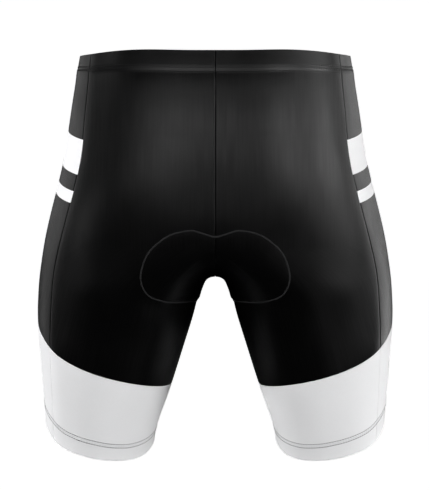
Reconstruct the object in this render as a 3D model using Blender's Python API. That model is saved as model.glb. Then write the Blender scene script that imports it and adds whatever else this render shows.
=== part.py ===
"""Training shorts, men's medium: close-fitting knitted cycling-type shorts in their worn, hollow form.

Frame: the origin is the centre of the waist opening, +Z up, +Y to the wearer's front, +X to the wearer's right.
Tables are in millimetres and hold points of the finished outer surface; the scene is in metres.

How it is made: a coarse net of quads runs through every section below, round the torso, then round each leg.
The net is relaxed until its smooth (Catmull-Clark) surface passes through the section points. The smooth surface
is cut into the pieces of the pattern along the net's own lines, each piece is given its wall, and each is drawn
back from its seams by half the gap.
"""

from collections import namedtuple
from math import atan2, cos, pi, radians, sin

import bpy
import numpy as np
from mathutils import Vector
from mathutils.bvhtree import BVHTree

MM = 0.001

# Cloth, in millimetres
PANEL_WALL = 1.3  # knitted panel
WAISTBAND_WALL = 2.6  # elastic folded into the cloth
HEM_WALL = 2.2  # cloth turned up once
SEAM_GAP = 0.3

# Net: number of quads between the seams, on one side of the garment
BACK_COLUMNS = 4  # centre back to back-side seam
SIDE_COLUMNS = 3  # back-side seam to front-side seam
FRONT_COLUMNS = 4  # front-side seam to centre front
CROTCH_COLUMNS = 3  # centre back (or front) to the inseam, under the crotch
RELAX_STEPS = 3

# Torso sections. z is taken at the side; lift_back and lift_front are how much higher the back and the front lie.
# half_width, back and front are the reaches from the origin; seam is where the two side seams cross, as a share of
# half_width; cleft is the shallow hollow at centre back; square is the section's exponent, 2 being an ellipse.
Torso = namedtuple("Torso", "name z lift_back lift_front half_width back front seam_back seam_front cleft square")
TORSO = [
    Torso("waist_edge", 0, 12.5, -12.5, 143.1, 107, 107, 0.900, 0.895, 0.0, 2.2),
    Torso("waistband_seam", -18.4, 9.2, -12.0, 146.4, 108.5, 108, 0.895, 0.890, 0.0, 2.2),
    Torso("waist", -56, 5, -9, 152.5, 114, 109, 0.884, 0.880, 0.5, 2.2),
    Torso("high_hip", -100, 2, -6, 158.4, 123.8, 107, 0.877, 0.875, 1.2, 2.28),
    Torso("hip", -144, 0, -4, 168.5, 130.5, 103, 0.886, 0.880, 2.2, 2.4),
    Torso("seat", -186, -4, -8, 179.1, 130, 98, 0.900, 0.890, 3.5, 2.42),
]
# How the back's lift grows from the side (0) to centre back (1): it stays flat across most of the back.
LIFT = ((0.0, 0.40, 0.71, 0.89, 1.0), (0.0, 0.30, 0.76, 1.0, 1.0))

# The line of the rise under the crotch, from centre back to centre front, at x = 0.
Rise = namedtuple("Rise", "name y z")
RISE = [
    Rise("under_seat", -104, -211),
    Rise("crotch_back", -68, -224.3),
    Rise("inseam_cross", -22, -230.2),
    Rise("crotch_front", 24, -227.7),
    Rise("pubic", 62, -215.5),
]

# Leg sections, wearer's right leg; the left is its mirror image. z_outer and z_inner are a section's heights at its
# outermost and innermost points, lift_front is how much higher its front lies than its middle, and twist is how much
# more its back leans than its middle. skew draws the outer half of its back in and the inner half out. seam_x is
# where both side seams cross. split is the share of the way from the
# inseam to a side seam at which the net line from centre back (or front) comes down.
Leg = namedtuple("Leg", "name z_outer x_outer z_inner x_inner back front lift_front twist skew seam_x split square")
LEG = [
    Leg("crotch_level", -217, 184.8, -239.5, 13.0, 115, 88, 1, 1, 21, 168.0, 0.42, 2.02),
    Leg("upper_thigh", -238, 187.6, -266, 20.8, 108, 85, 4, 4, 15, 170.8, 0.43, 2.04),
    Leg("thigh_middle", -258, 188.9, -303, 32.0, 100.5, 82, 8, 9, 10, 172.4, 0.43, 2.08),
    Leg("leg_band_seam", -280, 189.2, -349, 46.3, 93.5, 79, 13, 14, 6, 173.2, 0.43, 2.12),
    Leg("leg_band_middle", -324, 186.8, -374, 55.2, 83, 78, 17, 7, 3, 172.6, 0.43, 2.15),
    Leg("hem_stitching", -371, 183.8, -394, 62.2, 74, 78, 20, 1, 1, 171.6, 0.43, 2.15),
    Leg("hem_edge", -391.6, 182.6, -410.8, 65.2, 72, 77, 17.5, 1, 0, 170.5, 0.43, 2.3),
]
LEG_BAND_RING = 4  # counted from the seat section
HEM_STITCH_RING = 6

# Seat pad. Each row starts on the rise, at the given distance over the cloth from the pad's upper notch, and runs
# out sideways over the cloth for its reach. heading turns its start from straight sideways towards the back.
PAD_TOP = -176  # height of the notch
PAD_CLEARANCE = 2.0
PAD_EDGE = 1.5
PAD_THICK = 6.5
PAD_BEVEL = 22.0  # distance over which the pad thins to its edge
PAD_ACROSS = (0.0, 0.08, 0.17, 0.28, 0.42, 0.6, 0.8, 1.0)  # shares of a row's reach
PadRow = namedtuple("PadRow", "along heading reach")
PAD = [
    PadRow(0, 18, 24),
    PadRow(7, 16, 42),
    PadRow(16, 14, 56),
    PadRow(27, 14, 68),
    PadRow(39, 14, 76),
    PadRow(50, 14, 80),
    PadRow(62, 14, 78),
    PadRow(76, 18, 70),
    PadRow(92, 24, 60),
    PadRow(110, 28, 50),
    PadRow(130, 30, 45),
    PadRow(152, 24, 42),
    PadRow(176, 16, 42),
    PadRow(188, 12, 43),
    PadRow(200, 8, 44),
    PadRow(212, 5, 44),
    PadRow(224, 2, 44),
    PadRow(235, -1, 41),
    PadRow(246, -4, 36),
    PadRow(258, -8, 26),
    PadRow(264, -10, 12),
]

# Colours (linear), roughness
BLACK_KNIT = ("black_knit", (0.014, 0.014, 0.015), 0.62)
WHITE_KNIT = ("white_knit", (0.72, 0.72, 0.73), 0.6)
PAD_FLEECE = ("pad_fleece", (0.03, 0.03, 0.032), 0.9)

RUN = BACK_COLUMNS + SIDE_COLUMNS + FRONT_COLUMNS  # columns from centre back to centre front
LOOP = RUN + 2 * CROTCH_COLUMNS  # columns round a leg
INSEAM = RUN + CROTCH_COLUMNS
SIDES = {"right": 1, "left": -1}


def clear_scene():
    for obj in list(bpy.data.objects):
        bpy.data.objects.remove(obj, do_unlink=True)
    for mesh in list(bpy.data.meshes):
        bpy.data.meshes.remove(mesh)


def arc_lengths(points):
    return np.concatenate([[0.0], np.cumsum(np.linalg.norm(np.diff(points, axis=0), axis=1))])


def at_lengths(points, lengths):
    """Points of a polyline at the given distances along it."""
    along = arc_lengths(points)
    return np.stack([np.interp(lengths, along, points[:, k]) for k in range(3)], axis=1)


def spread(start, stop, count):
    """Distances that divide start..stop into count equal parts, without the last one."""
    return list(np.linspace(start, stop, count + 1)[:-1])


def quadrant(turn, square):
    """(sin, cos) of a section's turn, squared off to its exponent."""
    s, c = sin(turn), cos(turn)
    return (abs(s) ** (2 / square)) * (1 if s >= 0 else -1), (abs(c) ** (2 / square)) * (1 if c >= 0 else -1)


def torso_section(row):
    """Points from centre back to centre front, on the wearer's right."""
    outline = []
    for turn in np.linspace(0, pi, 241):
        s, c = quadrant(turn, row.square)
        x = row.half_width * s
        if c >= 0:
            y = -row.back * c + row.cleft * np.exp(-((x / 24.0) ** 2))
            z = row.z + row.lift_back * np.interp(c, *LIFT)
        else:
            y = -row.front * c
            z = row.z - row.lift_front * c
        outline.append((x, y, z))
    outline = np.array(outline)
    along = arc_lengths(outline)
    side = len(outline) // 2
    back_seam = np.interp(row.seam_back * row.half_width, outline[: side + 1, 0], along[: side + 1])
    front_seam = np.interp(-row.seam_front * row.half_width, -outline[side:, 0], along[side:])
    marks = (
        spread(0, back_seam, BACK_COLUMNS)
        + spread(back_seam, front_seam, SIDE_COLUMNS)
        + spread(front_seam, along[-1], FRONT_COLUMNS)
        + [along[-1]]
    )
    return at_lengths(outline, marks)


def leg_section(row):
    """Points round the right leg, in the net's order: centre-back line, outer side, centre-front line, inseam."""
    middle_x = (row.x_outer + row.x_inner) / 2
    middle_y = (row.front - row.back) / 2
    half_x = (row.x_outer - row.x_inner) / 2
    half_y = (row.front + row.back) / 2
    outline = []
    for turn in np.linspace(-pi / 2, 3 * pi / 2, 481):  # inseam, back, outer side, front, inseam
        s, c = quadrant(turn, row.square)
        x, y = half_x * s, -half_y * c + (row.skew * s * c if c > 0 else 0)
        z = (row.z_outer + row.z_inner) / 2 + (row.z_outer - row.z_inner) / 2 * s
        z -= row.lift_front * c + row.twist * s * c
        outline.append((middle_x + x, middle_y + y, z))
    outline = np.array(outline)
    along = arc_lengths(outline)
    side = len(outline) // 2
    back_seam = np.interp(row.seam_x, outline[: side + 1, 0], along[: side + 1])
    front_seam = np.interp(-row.seam_x, -outline[side:, 0], along[side:])
    back_line = back_seam * row.split
    front_line = along[-1] - (along[-1] - front_seam) * row.split
    marks = (
        spread(back_line, back_seam, BACK_COLUMNS)
        + spread(back_seam, front_seam, SIDE_COLUMNS)
        + spread(front_seam, front_line, FRONT_COLUMNS)
        + spread(front_line, along[-1], CROTCH_COLUMNS)
        + spread(0, back_line, CROTCH_COLUMNS)
    )
    return at_lengths(outline, marks)


def panel_of(column):
    if BACK_COLUMNS <= column < BACK_COLUMNS + SIDE_COLUMNS:
        return "side"
    if BACK_COLUMNS + SIDE_COLUMNS <= column < INSEAM:
        return "front"
    return "back"


def build_net():
    """The net's points in millimetres, its quads, and the name of the piece that each quad belongs to."""
    points, quads, names = [], [], []

    def add(point):
        points.append(tuple(point))
        return len(points) - 1

    def mirrored(point, sign):
        return (sign * point[0], point[1], point[2])

    rows = {side: [] for side in SIDES}
    for row in TORSO:
        section = torso_section(row)
        section[0, 0] = section[-1, 0] = 0.0
        ends = add(section[0]), add(section[-1])
        for side, sign in SIDES.items():
            inner = [add(mirrored(p, sign)) for p in section[1:-1]]
            rows[side].append([ends[0], *inner, ends[1]])
    rise = [add((0.0, r.y, r.z)) for r in RISE]

    for side, sign in SIDES.items():
        torso = rows[side]
        for r in range(len(torso) - 1):
            for c in range(RUN):
                quads.append((torso[r][c], torso[r][c + 1], torso[r + 1][c + 1], torso[r + 1][c], sign))
                names.append(("waistband_" if r == 0 else "") + panel_of(c) + "_" + side)
        ring = torso[-1] + rise[::-1]
        for number, row in enumerate(LEG, start=1):
            section = [add(mirrored(p, sign)) for p in leg_section(row)]
            for c in range(LOOP):
                d = (c + 1) % LOOP
                quads.append((ring[c], ring[d], section[d], section[c], sign))
                names.append(("leg_band_" if number > LEG_BAND_RING else "") + panel_of(c) + "_" + side)
            ring = section
    quads = [q[:4] if q[4] < 0 else (q[0], q[3], q[2], q[1]) for q in quads]
    return np.array(points), quads, names


def smooth(points, quads, groups, levels):
    """The Catmull-Clark limit surface of a net: its points, normals, faces and each face's group."""
    mesh = bpy.data.meshes.new("net")
    mesh.from_pydata([tuple(p * MM) for p in points], [], quads)
    mesh.polygons.foreach_set("material_index", groups)
    mesh.polygons.foreach_set("use_smooth", [True] * len(mesh.polygons))
    obj = bpy.data.objects.new("net", mesh)
    bpy.context.scene.collection.objects.link(obj)
    modifier = obj.modifiers.new("smooth", "SUBSURF")
    modifier.levels = modifier.render_levels = levels
    modifier.quality = 6
    modifier.use_limit_surface = True
    graph = bpy.context.evaluated_depsgraph_get()
    evaluated = obj.evaluated_get(graph)
    made = evaluated.to_mesh()
    co = np.empty(len(made.vertices) * 3, np.float32)
    made.vertices.foreach_get("co", co)
    normals = np.array([v.vector for v in made.vertex_normals])
    faces = [tuple(p.vertices) for p in made.polygons]
    group = [p.material_index for p in made.polygons]
    evaluated.to_mesh_clear()
    bpy.data.objects.remove(obj, do_unlink=True)
    bpy.data.meshes.remove(mesh)
    return co.reshape(-1, 3).astype(float) / MM, normals, faces, group


def relaxed_net():
    """The net, moved until its smooth surface passes through every section point."""
    target, quads, names = build_net()
    pieces = sorted(set(names))
    groups = [pieces.index(n) for n in names]
    net = target.copy()
    for _ in range(RELAX_STEPS):
        reached = smooth(net, quads, groups, 1)[0][: len(target)]
        net += target - reached
    return net, quads, groups, pieces


def seam_offsets(points, normals, faces, group, count):
    """For each piece, how far each of its border points draws back from its seams."""
    sides_of = {}
    for number, face in enumerate(faces):
        for a, b in zip(face, face[1:] + face[:1]):
            sides_of.setdefault((min(a, b), max(a, b)), []).append((number, a, b))
    inward = [{} for _ in range(count)]
    border = [[] for _ in range(count)]
    for found in sides_of.values():
        if len(found) == 2 and group[found[0][0]] == group[found[1][0]]:
            continue
        for number, a, b in found:
            border[group[number]].append((a, b))
            if len(found) == 1:
                continue
            edge = points[b] - points[a]
            across = np.cross(normals[a] + normals[b], edge)
            across /= np.linalg.norm(across)
            if np.dot(points[list(faces[number])].mean(0) - points[a], across) < 0:
                across = -across
            for v in (a, b):
                inward[group[number]].setdefault(v, []).append(across)
    offsets = []
    for found in inward:
        moved = {}
        for v, ways in found.items():
            if len(ways) == 1:
                moved[v] = ways[0] * SEAM_GAP / 2
            else:
                moved[v] = (ways[0] + ways[1]) * (SEAM_GAP / 2) / (1 + np.dot(ways[0], ways[1]))
        offsets.append(moved)
    return offsets, border


def add_object(name, points, faces, material):
    mesh = bpy.data.meshes.new(name)
    mesh.from_pydata([tuple(np.asarray(p) * MM) for p in points], [], faces)
    mesh.materials.append(material)
    mesh.validate()
    mesh.shade_smooth()
    mesh.set_sharp_from_angle(angle=radians(40))
    obj = bpy.data.objects.new(name, mesh)
    bpy.context.scene.collection.objects.link(obj)
    return obj


def walled_piece(name, number, surface, offsets, border, walls, material):
    """One cut piece as a closed wall: the outer face, the inner face, and the rim that joins them."""
    points, normals, faces, group = surface
    mine = [f for f, g in zip(faces, group) if g == number]
    used = sorted({v for f in mine for v in f})
    index = {v: k for k, v in enumerate(used)}
    outer = [points[v] + offsets[number].get(v, 0.0) for v in used]
    inner = [outer[index[v]] - walls[v] * normals[v] for v in used]
    count = len(used)
    made = [tuple(index[v] for v in f) for f in mine]
    made += [tuple(index[v] + count for v in (f[2], f[1], f[0], f[3])) for f in mine]  # split along the same diagonals
    made += [(index[b], index[a], index[a] + count, index[b] + count) for a, b in border[number]]
    return add_object(name, outer + inner, made, material)


def on_hem_turn_up(points):
    """Which points lie on or below the hem stitching, on either leg."""
    row = LEG[HEM_STITCH_RING - 1]
    x, y, z = np.abs(points[:, 0]), points[:, 1], points[:, 2]
    across = (x - (row.x_outer + row.x_inner) / 2) / ((row.x_outer - row.x_inner) / 2)
    along = (y - (row.front - row.back) / 2) / ((row.front + row.back) / 2)
    plane = (row.z_outer + row.z_inner) / 2 + (row.z_outer - row.z_inner) / 2 * across + row.lift_front * along
    return z < plane + 3.0


def rise_line(points):
    """The cut of a surface by x = 0, from the waist at centre back, under the crotch, to the waist at centre front."""
    line = points[np.abs(points[:, 0]) < 0.01]
    middle = (TORSO[-1].z + TORSO[0].z) / 2
    return line[np.argsort([(atan2(middle - p[2], -p[1]) + pi / 2) % (2 * pi) for p in line])]


def walk(tree, start, heading, distances, stride=2.0):
    """Points and normals at the given distances along the straightest path over a surface."""
    place, normal, _, _ = tree.find_nearest(Vector(start))
    found, gone = [], 0.0
    for distance in distances:
        while gone < distance - 1e-9:
            step = min(stride, distance - gone)
            ahead = (heading - normal * heading.dot(normal)).normalized() * step
            arrived, normal, _, _ = tree.find_nearest(place + ahead)
            heading, place = arrived - place, arrived
            gone += step
        found.append((np.array(place), np.array(normal)))
    return found


def inner_face(surface, wall):
    """The inner side of the cloth, as points and a tree to search."""
    points, normals, faces, _ = surface
    inner = points - wall * normals
    return inner, BVHTree.FromPolygons([Vector(p) for p in inner], faces)


def seat_pad(fine_surface, surface, wall, material):
    """The pad sewn inside the seat: rows of points over the inner face of the cloth, thick in the middle."""
    inner, tree = inner_face(fine_surface, wall)
    _, facets = inner_face(surface, wall)
    line = rise_line(inner)
    back = line[line[:, 1] < -80]
    notch = np.interp(-PAD_TOP, -back[:, 2], arc_lengths(back))
    rows = []
    for row in PAD:
        start = Vector(at_lengths(line, [notch + row.along])[0])
        before, after = at_lengths(line, [notch + row.along - 6, notch + row.along + 6])
        along = Vector(before - after).normalized()
        out = Vector((1, 0, 0)).cross(along)
        out = -out if out.dot(start - Vector((0, 0, TORSO[-2].z))) < 0 else out
        heading = Vector((cos(radians(row.heading)), 0, 0)) + along * sin(radians(row.heading))
        half = walk(tree, start, heading, [row.reach * share for share in PAD_ACROSS[1:]])
        ends = min(row.along, PAD[-1].along - row.along)
        cells = [(np.array(start), np.array(out), min(ends, row.reach))]
        cells += [(p, n, min(ends, row.reach * (1 - share))) for (p, n), share in zip(half, PAD_ACROSS[1:])]
        flip = np.array((-1.0, 1.0, 1.0))
        rows.append([(p * flip, n * flip, d) for p, n, d in cells[:0:-1]] + cells)
    width = len(rows[0])
    below, above = [], []
    for p, n, d in [cell for row in rows for cell in row]:
        share = min(d / PAD_BEVEL, 1.0)
        thick = PAD_EDGE + (PAD_THICK - PAD_EDGE) * share * share * (3 - 2 * share)
        nearest = np.array(facets.find_nearest(Vector(p))[0])
        gap = PAD_CLEARANCE + max(np.dot(p - nearest, n), 0.0)
        below.append(p - n * gap)
        above.append(p - n * (gap + thick))
    size = len(below)
    made = [
        (r * width + c, r * width + c + 1, (r + 1) * width + c + 1, (r + 1) * width + c)
        for r in range(len(rows) - 1)
        for c in range(width - 1)
    ]
    edge = (
        [c for c in range(width - 1)]
        + [r * width + width - 1 for r in range(len(rows) - 1)]
        + [(len(rows) - 1) * width + c for c in range(width - 1, 0, -1)]
        + [r * width for r in range(len(rows) - 1, 0, -1)]
    )
    rim = [(b, a, a + size, b + size) for a, b in zip(edge, edge[1:] + edge[:1])]
    made = made + [tuple(f[k] + size for k in (2, 1, 0, 3)) for f in made] + rim
    cloud = np.array(below + above)
    volume = sum(np.dot(cloud[f[0]], np.cross(cloud[f[i]], cloud[f[i + 1]])) for f in made for i in range(1, len(f) - 1))
    if volume < 0:
        made = [tuple(reversed(f)) for f in made]
    return add_object("seat_pad", list(cloud), made, material)


def knit_material(name, colour, roughness):
    material = bpy.data.materials.new(name)
    material.use_nodes = True
    shader = material.node_tree.nodes["Principled BSDF"]
    shader.inputs["Base Color"].default_value = (*colour, 1)
    shader.inputs["Roughness"].default_value = roughness
    shader.inputs["Metallic"].default_value = 0.0
    material.diffuse_color = (*colour, 1)
    return material


def main():
    clear_scene()
    net, quads, groups, pieces = relaxed_net()
    points, normals, faces, group = surface = smooth(net, quads, groups, 1)
    offsets, border = seam_offsets(points, normals, faces, group, len(pieces))
    panel_walls = np.where(on_hem_turn_up(points), HEM_WALL, PANEL_WALL)
    band_walls = np.full(len(points), WAISTBAND_WALL)
    for number, name in enumerate(pieces):
        finish = WHITE_KNIT if name.startswith("leg_band") else BLACK_KNIT
        material = knit_material(name + "_" + finish[0], finish[1], finish[2])
        walls = band_walls if name.startswith("waistband") else panel_walls
        walled_piece(name, number, surface, offsets, border, walls, material)
    seat_pad(smooth(net, quads, groups, 3), surface, PANEL_WALL, knit_material(*PAD_FLEECE))


main()
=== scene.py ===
"""Looks of the training shorts, in the CAD's own frame: cloth pieces with their seams and folded edges, stitching,
seat pad, materials, light and camera. Tables are in millimetres, the scene is in metres."""

from collections import namedtuple
from math import atan2, cos, pi, radians, sin
import bmesh
import bpy
import numpy as np
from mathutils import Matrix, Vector
from mathutils.bvhtree import BVHTree


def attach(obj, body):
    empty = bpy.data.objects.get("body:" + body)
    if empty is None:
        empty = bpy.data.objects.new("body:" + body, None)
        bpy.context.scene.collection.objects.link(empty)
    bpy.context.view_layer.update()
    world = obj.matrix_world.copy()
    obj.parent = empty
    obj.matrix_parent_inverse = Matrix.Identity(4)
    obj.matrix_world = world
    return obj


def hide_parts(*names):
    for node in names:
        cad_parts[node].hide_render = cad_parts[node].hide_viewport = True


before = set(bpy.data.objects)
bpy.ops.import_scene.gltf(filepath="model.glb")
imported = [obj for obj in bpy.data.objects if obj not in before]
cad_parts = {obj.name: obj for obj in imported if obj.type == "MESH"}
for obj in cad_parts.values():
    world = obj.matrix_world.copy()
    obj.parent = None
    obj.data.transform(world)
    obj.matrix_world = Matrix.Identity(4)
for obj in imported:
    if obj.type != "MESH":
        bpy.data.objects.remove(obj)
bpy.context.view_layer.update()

MM = 0.001

# ---------------------------------------------------------------- the garment's own sizes, as in the CAD

PANEL_WALL = 1.3
WAISTBAND_WALL = 2.6
HEM_WALL = 2.2
SEAM_GAP = 0.3

# Net: number of quads between the seams, on one side of the garment
BACK_COLUMNS = 4  # centre back to back-side seam
SIDE_COLUMNS = 3  # back-side seam to front-side seam
FRONT_COLUMNS = 4  # front-side seam to centre front
CROTCH_COLUMNS = 3  # centre back (or front) to the inseam, under the crotch
RELAX_STEPS = 3

# Torso sections. z is taken at the side; lift_back and lift_front are how much higher the back and the front lie.
# half_width, back and front are the reaches from the origin; seam is where the two side seams cross, as a share of
# half_width; cleft is the shallow hollow at centre back; square is the section's exponent, 2 being an ellipse.
Torso = namedtuple("Torso", "name z lift_back lift_front half_width back front seam_back seam_front cleft square")
TORSO = [
    Torso("waist_edge", 0, 12.5, -12.5, 143.1, 107, 107, 0.900, 0.895, 0.0, 2.2),
    Torso("waistband_seam", -18.4, 9.2, -12.0, 146.4, 108.5, 108, 0.895, 0.890, 0.0, 2.2),
    Torso("waist", -56, 5, -9, 152.5, 114, 109, 0.884, 0.880, 0.5, 2.2),
    Torso("high_hip", -100, 2, -6, 158.4, 123.8, 107, 0.877, 0.875, 1.2, 2.28),
    Torso("hip", -144, 0, -4, 168.5, 130.5, 103, 0.886, 0.880, 2.2, 2.4),
    Torso("seat", -186, -4, -8, 179.1, 130, 98, 0.900, 0.890, 3.5, 2.42),
]
# How the back's lift grows from the side (0) to centre back (1): it stays flat across most of the back.
LIFT = ((0.0, 0.40, 0.71, 0.89, 1.0), (0.0, 0.30, 0.76, 1.0, 1.0))

# The line of the rise under the crotch, from centre back to centre front, at x = 0.
Rise = namedtuple("Rise", "name y z")
RISE = [
    Rise("under_seat", -104, -211),
    Rise("crotch_back", -68, -224.3),
    Rise("inseam_cross", -22, -230.2),
    Rise("crotch_front", 24, -227.7),
    Rise("pubic", 62, -215.5),
]

# Leg sections, wearer's right leg; the left is its mirror image. z_outer and z_inner are a section's heights at its
# outermost and innermost points, lift_front is how much higher its front lies than its middle, and twist is how much
# more its back leans than its middle. skew draws the outer half of its back in and the inner half out. seam_x is
# where both side seams cross. split is the share of the way from the
# inseam to a side seam at which the net line from centre back (or front) comes down.
Leg = namedtuple("Leg", "name z_outer x_outer z_inner x_inner back front lift_front twist skew seam_x split square")
LEG = [
    Leg("crotch_level", -217, 184.8, -239.5, 13.0, 115, 88, 1, 1, 21, 168.0, 0.42, 2.02),
    Leg("upper_thigh", -238, 187.6, -266, 20.8, 108, 85, 4, 4, 15, 170.8, 0.43, 2.04),
    Leg("thigh_middle", -258, 188.9, -303, 32.0, 100.5, 82, 8, 9, 10, 172.4, 0.43, 2.08),
    Leg("leg_band_seam", -280, 189.2, -349, 46.3, 93.5, 79, 13, 14, 6, 173.2, 0.43, 2.12),
    Leg("leg_band_middle", -324, 186.8, -374, 55.2, 83, 78, 17, 7, 3, 172.6, 0.43, 2.15),
    Leg("hem_stitching", -371, 183.8, -394, 62.2, 74, 78, 20, 1, 1, 171.6, 0.43, 2.15),
    Leg("hem_edge", -391.6, 182.6, -410.8, 65.2, 72, 77, 17.5, 1, 0, 170.5, 0.43, 2.3),
]
LEG_BAND_RING = 4  # counted from the seat section
HEM_STITCH_RING = 6

# Seat pad. Each row starts on the rise, at the given distance over the cloth from the pad's upper notch, and runs
# out sideways over the cloth for its reach. heading turns its start from straight sideways towards the back.
PAD_TOP = -176  # height of the notch
PAD_CLEARANCE = 2.0
PAD_EDGE = 1.5
PAD_THICK = 6.5
PAD_BEVEL = 22.0  # distance over which the pad thins to its edge
PAD_ACROSS = (0.0, 0.08, 0.17, 0.28, 0.42, 0.6, 0.8, 1.0)  # shares of a row's reach
PadRow = namedtuple("PadRow", "along heading reach")
PAD = [
    PadRow(0, 18, 24),
    PadRow(7, 16, 42),
    PadRow(16, 14, 56),
    PadRow(27, 14, 68),
    PadRow(39, 14, 76),
    PadRow(50, 14, 80),
    PadRow(62, 14, 78),
    PadRow(76, 18, 70),
    PadRow(92, 24, 60),
    PadRow(110, 28, 50),
    PadRow(130, 30, 45),
    PadRow(152, 24, 42),
    PadRow(176, 16, 42),
    PadRow(188, 12, 43),
    PadRow(200, 8, 44),
    PadRow(212, 5, 44),
    PadRow(224, 2, 44),
    PadRow(235, -1, 41),
    PadRow(246, -4, 36),
    PadRow(258, -8, 26),
    PadRow(264, -10, 12),
]

RUN = BACK_COLUMNS + SIDE_COLUMNS + FRONT_COLUMNS  # columns from centre back to centre front
LOOP = RUN + 2 * CROTCH_COLUMNS  # columns round a leg
INSEAM = RUN + CROTCH_COLUMNS
SIDES = {"right": 1, "left": -1}
LEG_BAND_ROW = len(TORSO) - 1 + LEG_BAND_RING
HEM_STITCH_ROW = len(TORSO) - 1 + HEM_STITCH_RING
LAST_ROW = len(TORSO) - 1 + len(LEG)

# ---------------------------------------------------------------- how the cloth is finished

FINE = 4  # levels of smoothing: a net square is 16 by 16 faces
FINE_BAND = 5  # the waistband is finer, for its stitched ridge
CUTS = (0.45, 1.15)  # extra rows of faces beside every edge, by distance

# How deep the cloth dips beside each kind of edge: at the edge, at the first extra row, at the second and beyond.
Edge = namedtuple("Edge", "kind dip first second")
EDGES = [
    Edge("seam", 0.80, 0.26, 0.04),  # two panels joined edge to edge
    Edge("side_seam", 0.58, 0.12, 0.02),
    Edge("band_seam", 0.12, 0.02, 0.0),  # waistband to panel
    Edge("leg_band_seam", 0.34, 0.06, 0.0),
    Edge("waist_fold", 0.60, 0.15, 0.0),
    Edge("hem_fold", 0.65, 0.18, 0.0),
]

# How far the cloth stands out round the waist, by distance above the waistband's seam. The band rolls out to its lower
# edge in two steps, one at each row of stitches; the panel draws in below it.
WAIST_FACE = [(-60, 0.0), (-22, -0.56), (-14, -0.58), (-9, -0.48), (-5, -0.30), (-2, -0.10), (-0.5, 0.0), (1.2, 0.0),
              (2.0, -0.05), (3.2, -0.23), (4.0, -0.29), (5.0, -0.33), (6.2, -0.43), (7.2, -0.47), (9, -0.47), (18, -0.43)]

# The band's lower edge laps over the panel's, and stands out a little from it.
OVERLAP = namedtuple("Overlap", "down out")(0.5, 0.12)

# By distance from the centre line: how far the stitches run above their section line, and how far the folded edge hangs
# below its own.
HEM_RAISE = [(66, 0.5), (93, 0.5), (100, 1.0), (112, 1.3), (125, 2.0), (157, 2.1), (164, 2.6), (172, 4.0), (186, 4.2)]
HEM_DROP = [(66, 0.2), (76, 1.6), (128, 1.7), (160, 0.6), (172, 0.0), (184, -1.6)]
HEM_TUCK = 2.2  # how far the hem's edge turns in under the leg at the back
# How far the pad pushes the cloth out: a little everywhere, and more where the legs face each other
PAD_BULGE, PAD_BULGE_INSIDE = 0.3, 2.3
PAD_INSIDE_X = (12.0, 62.0)  # distances from the centre line between which the greater bulge fades
PAD_INSIDE_Z = (-228.0, -243.0)  # heights between which it grows
PAD_RAMP = 4.5  # the bulge rises over this distance from the pad's outline
CROTCH_DROP, CROTCH_HALF, CROTCH_Z = 1.3, 9.0, (-222.0, -231.0)  # and it hangs a little between the legs

# Small puckers along the waistband's stitches beside the side seams, rising towards the middle
PUCKER = {"pitch": 2.5, "rise": 0.33, "height": 0.16, "reach": 30.0, "middle": 4.2, "width": 2.6}

# Bars printed across the side panels: height of the lower and the upper edge at y = -55, the same all along the panel
Bar = namedtuple("Bar", "name low high")
BARS = [
    Bar("broad", -117.0, -82.0),
    Bar("narrow", -146.0, -134.0),
]
BAR_SLOPE = 0.08  # rise towards the front
BAR_Y = -55.0

# Stitch rows: distance between the two rows, length and pitch of a stitch, width and height of its thread
Thread = namedtuple("Thread", "name rows pitch length width height")
HEM_THREAD = Thread("hem", (0.0, 4.1), 2.9, 2.5, 0.70, 0.30)
WAIST_THREAD = Thread("waist", (4.4, 6.9), 2.6, 1.9, 0.42, 0.16)
LADDER_WIDTH = 0.26
# Towards the side seams the waistband's rows draw up into a slanting cord of looper thread.
CORD = namedtuple("Cord", "rows pitch length width height lean starts rises")(
    (3.3, 6.9), 3.2, 2.9, 1.2, 0.55, 0.6, 66.0, 44.0
)

STRETCH = 0.90  # a panel is cut to this share of its worn width
LENGTHWAYS = 0.98


# ---------------------------------------------------------------- net and smooth surface


def arc_lengths(points):
    return np.concatenate([[0.0], np.cumsum(np.linalg.norm(np.diff(points, axis=0), axis=1))])


def at_lengths(points, lengths):
    """Points of a polyline at the given distances along it."""
    along = arc_lengths(points)
    return np.stack([np.interp(lengths, along, points[:, k]) for k in range(3)], axis=1)


def spread(start, stop, count):
    """Distances that divide start..stop into count equal parts, without the last one."""
    return list(np.linspace(start, stop, count + 1)[:-1])


def quadrant(turn, square):
    """(sin, cos) of a section's turn, squared off to its exponent."""
    s, c = sin(turn), cos(turn)
    return (abs(s) ** (2 / square)) * (1 if s >= 0 else -1), (abs(c) ** (2 / square)) * (1 if c >= 0 else -1)


def torso_section(row):
    """Points from centre back to centre front, on the wearer's right."""
    outline = []
    for turn in np.linspace(0, pi, 241):
        s, c = quadrant(turn, row.square)
        x = row.half_width * s
        if c >= 0:
            y = -row.back * c + row.cleft * np.exp(-((x / 24.0) ** 2))
            z = row.z + row.lift_back * np.interp(c, *LIFT)
        else:
            y = -row.front * c
            z = row.z - row.lift_front * c
        outline.append((x, y, z))
    outline = np.array(outline)
    along = arc_lengths(outline)
    side = len(outline) // 2
    back_seam = np.interp(row.seam_back * row.half_width, outline[: side + 1, 0], along[: side + 1])
    front_seam = np.interp(-row.seam_front * row.half_width, -outline[side:, 0], along[side:])
    marks = (
        spread(0, back_seam, BACK_COLUMNS)
        + spread(back_seam, front_seam, SIDE_COLUMNS)
        + spread(front_seam, along[-1], FRONT_COLUMNS)
        + [along[-1]]
    )
    return at_lengths(outline, marks)


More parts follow.
